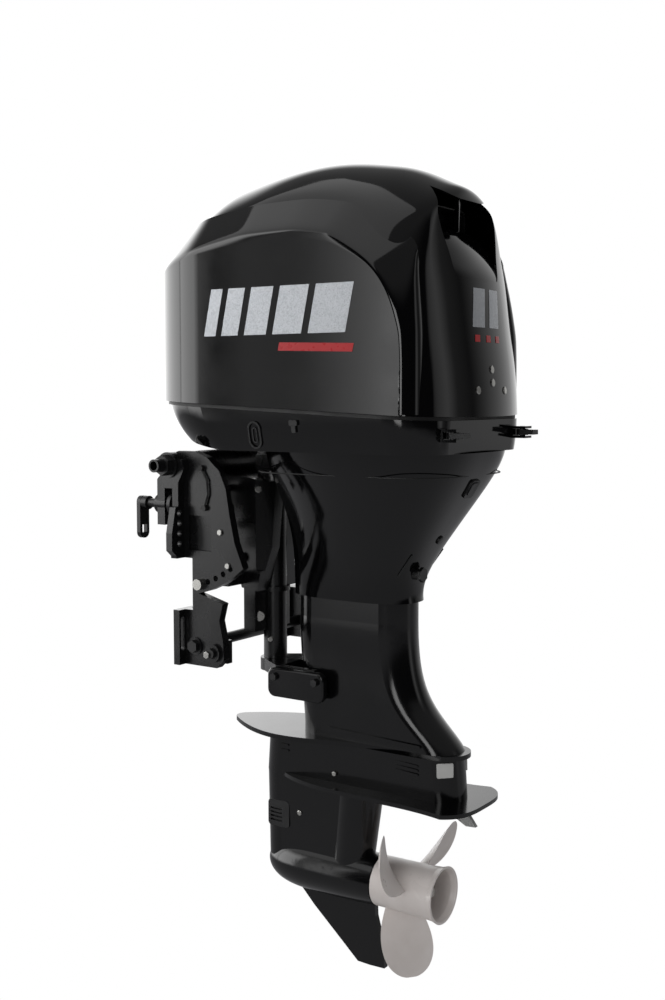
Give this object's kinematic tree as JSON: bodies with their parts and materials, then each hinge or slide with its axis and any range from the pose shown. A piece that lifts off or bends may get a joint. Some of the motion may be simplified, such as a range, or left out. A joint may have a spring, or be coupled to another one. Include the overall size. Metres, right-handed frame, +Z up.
{
  "type": "outboard motor",
  "caption": "Long-shaft outboard motor with cowl, funnel-shaped apron, leg, gearcase and propeller, carried on a tilting and steering transom clamp.",
  "frame": {"origin": "middle of the tilt tube, on the tilt axis between the two clamp brackets", "axes": "+X aft, +Y starboard along the tilt tube, +Z up"},
  "size_m": [0.6525, 0.432, 1.382],
  "materials": {
    "cowl_gloss": "gloss black moulded cowl",
    "tray_plastic": "semi-gloss black moulding",
    "apron_gloss": "gloss black moulding",
    "leg_paint": "die-cast aluminium in gloss black paint",
    "bracket_paint": "die-cast aluminium in satin black paint",
    "steel_black": "steel in black paint",
    "stainless": "plain stainless steel",
    "engine_casting": "grey painted engine casting",
    "engine_steel": "machined cast iron",
    "gear_steel": "ground gear steel",
    "rubber_black": "black rubber",
    "bush_polymer": "dark bearing polymer",
    "black_plastic": "matte black plastic",
    "zinc": "bare sacrificial metal",
    "propeller_paint": "off-white painted aluminium",
    "nut_brass": "dull bronze",
    "wire_sheath": "insulated wire"
  },
  "bodies": {
    "clamp": {"clamp_bracket_port": "bracket_paint", "clamp_bracket_starboard": "bracket_paint", "tilt_tube": "steel_black", "tilt_tube_nuts": "black_plastic", "lower_tie_bolt": "steel_black", "trim_rod": "stainless", "bracket_anodes": "zinc", "anode_bolts": "stainless", "earth_lead": "wire_sheath"},
    "pad_port": {"clamp_pad_port": "steel_black"},
    "pad_starboard": {"clamp_pad_starboard": "steel_black"},
    "screw_port": {"clamp_screw_port": "steel_black"},
    "screw_starboard": {"clamp_screw_starboard": "steel_black"},
    "swivel": {"swivel_bracket": "bracket_paint", "swivel_bushes": "bush_polymer"},
    "lock_hooks": {"reverse_lock_hooks": "steel_black"},
    "support_lever": {"tilt_support_lever": "steel_black"},
    "motor": {"steering_head": "bracket_paint", "steering_arm": "bracket_paint", "upper_mounts": "rubber_black", "lower_yoke": "bracket_paint", "lower_mounts": "rubber_black", "lower_mount_covers": "leg_paint", "cover_bolts": "stainless", "exhaust_case": "leg_paint", "apron_port": "apron_gloss", "apron_starboard": "apron_gloss", "flush_connector": "black_plastic", "bottom_tray": "tray_plastic", "tray_seal": "rubber_black", "engine_block": "engine_casting", "cylinder_head": "engine_casting", "head_cover": "engine_casting", "intake_manifold": "black_plastic", "starter_motor": "steel_black", "oil_filter": "steel_black", "electronics_box": "black_plastic", "ignition_coils": "black_plastic", "timing_belt": "rubber_black", "gearcase": "leg_paint", "splash_plate": "leg_paint", "trim_tab": "zinc", "intake_covers": "black_plastic", "pump_housing": "black_plastic", "bearing_carrier": "engine_casting"},
    "latch_port": {"latch_port": "black_plastic"},
    "latch_starboard": {"latch_starboard": "black_plastic"},
    "cowl": {"top_cowl": "cowl_gloss", "intake_duct": "black_plastic"},
    "crank": {"flywheel": "engine_steel", "drive_shaft": "gear_steel", "pinion": "gear_steel", "impeller": "rubber_black"},
    "cam": {"cam_pulley": "engine_steel"},
    "forward_gear": {"forward_gear": "gear_steel"},
    "reverse_gear": {"reverse_gear": "gear_steel"},
    "clutch": {"clutch_dog": "gear_steel"},
    "propeller": {"propeller": "propeller_paint", "propeller_shaft": "stainless", "propeller_hardware": "nut_brass"}
  },
  "joints": [
    {"name": "tilt", "type": "hinge", "parent": "clamp", "child": "swivel", "pos_m": [0, 0, 0], "axis": [0, -1, 0], "range_deg": [0, 65]},
    {"name": "steer", "type": "hinge", "parent": "swivel", "child": "motor", "pos_m": [0.095, 0, -0.2], "axis": [0, 0, 1], "range_deg": [-40, 40]},
    {"name": "pad_port_slide", "type": "slide", "parent": "clamp", "child": "pad_port", "axis": [1, 0, 0], "range_m": [-0.0025, 0.0175]},
    {"name": "pad_starboard_slide", "type": "slide", "parent": "clamp", "child": "pad_starboard", "axis": [1, 0, 0], "range_m": [-0.0025, 0.0175]},
    {"name": "screw_port_turn", "type": "hinge", "parent": "pad_port", "child": "screw_port", "pos_m": [-0.08, -0.132, -0.072], "axis": [1, 0, 0], "range_deg": [-180, 1260]},
    {"name": "screw_starboard_turn", "type": "hinge", "parent": "pad_starboard", "child": "screw_starboard", "pos_m": [-0.08, 0.132, -0.072], "axis": [1, 0, 0], "range_deg": [-180, 1260]},
    {"name": "lock_hooks_swing", "type": "hinge", "parent": "swivel", "child": "lock_hooks", "pos_m": [0.06401, 0, -0.16801], "axis": [0, -1, 0], "range_deg": [0, 48]},
    {"name": "support_lever_swing", "type": "hinge", "parent": "swivel", "child": "support_lever", "pos_m": [0.034, -0.08, -0.046], "axis": [0, 1, 0], "range_deg": [0, 55]},
    {"name": "cowl_lift", "type": "slide", "parent": "motor", "child": "cowl", "axis": [0, 0, 1], "range_m": [0, 0.47]},
    {"name": "latch_port_turn", "type": "hinge", "parent": "motor", "child": "latch_port", "pos_m": [0.5225, -0.12, 0.058], "axis": [0, 0, -1], "range_deg": [0, 90]},
    {"name": "latch_starboard_turn", "type": "hinge", "parent": "motor", "child": "latch_starboard", "pos_m": [0.5225, 0.12, 0.058], "axis": [0, 0, 1], "range_deg": [0, 90]},
    {"name": "crank_turn", "type": "hinge", "parent": "motor", "child": "crank", "pos_m": [0.225, 0, 0], "axis": [0, 0, 1], "continuous": true},
    {"name": "cam_turn", "type": "hinge", "parent": "motor", "child": "cam", "pos_m": [0.363, 0, 0.35], "axis": [0, 0, 1], "continuous": true},
    {"name": "forward_gear_turn", "type": "hinge", "parent": "motor", "child": "forward_gear", "pos_m": [0.225, 0, -0.72], "axis": [1, 0, 0], "continuous": true},
    {"name": "reverse_gear_turn", "type": "hinge", "parent": "motor", "child": "reverse_gear", "pos_m": [0.225, 0, -0.72], "axis": [1, 0, 0], "continuous": true},
    {"name": "propeller_turn", "type": "hinge", "parent": "motor", "child": "propeller", "pos_m": [0.3, 0, -0.72], "axis": [1, 0, 0], "continuous": true},
    {"name": "clutch_shift", "type": "slide", "parent": "propeller", "child": "clutch", "axis": [1, 0, 0], "range_m": [-0.0035, 0.0035]}
  ],
  "couplings": [
    {"joint": "screw_port_turn", "follows": "pad_port_slide", "rad_per_m": 1256.6},
    {"joint": "screw_starboard_turn", "follows": "pad_starboard_slide", "rad_per_m": 1256.6},
    {"joint": "cam_turn", "follows": "crank_turn", "ratio": 0.5},
    {"joint": "forward_gear_turn", "follows": "crank_turn", "ratio": 0.5},
    {"joint": "reverse_gear_turn", "follows": "crank_turn", "ratio": -0.5}
  ]
}
